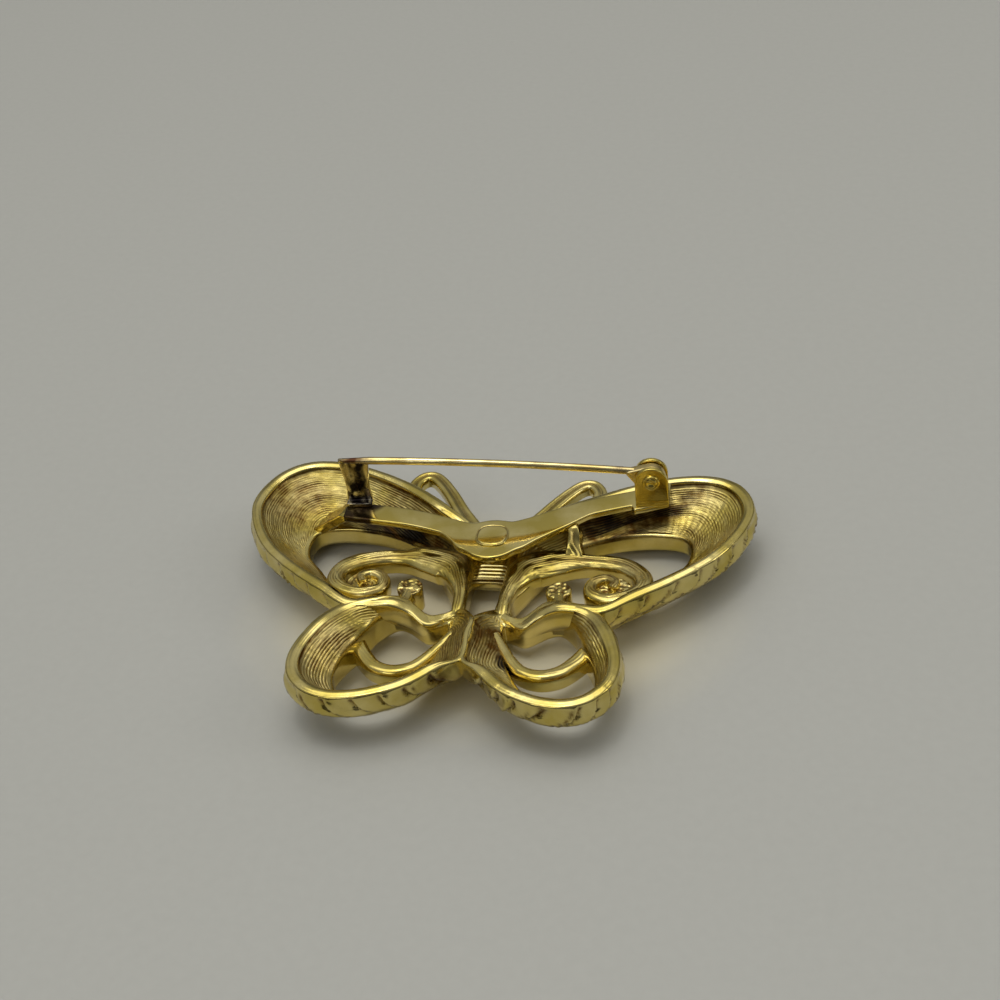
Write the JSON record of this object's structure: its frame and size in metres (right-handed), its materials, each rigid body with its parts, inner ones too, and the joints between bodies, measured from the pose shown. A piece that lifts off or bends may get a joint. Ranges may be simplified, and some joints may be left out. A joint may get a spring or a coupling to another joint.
{
  "type": "butterfly brooch",
  "caption": "Openwork butterfly brooch with hollow-backed wings, scrolls and a hinged pin on a flat bar, lying on its face.",
  "frame": {"origin": "under the middle of the butterfly, on the surface it lies on", "axes": "+X toward the right wing as seen from the back, +Y toward the head, +Z out of the back, which lies up"},
  "size_m": [0.0586, 0.041, 0.0135],
  "materials": {
    "gilt": "polished, with a brushed hollow",
    "findings": "polished",
    "stem": "polished",
    "tarnished": "darkly tarnished"
  },
  "bodies": {
    "brooch": {"butterfly": "gilt", "pin_hinge": "findings", "hinge_rivet": "findings", "catch": "tarnished"},
    "pin": {"pin_stem": "stem"}
  },
  "joints": [
    {"name": "pin_pivot", "type": "hinge", "parent": "brooch", "child": "pin", "pos_m": [0.0174, 0.01287, 0.01], "axis": [-0.0657, 0.9978, 0], "range_deg": [0, 100]}
  ]
}
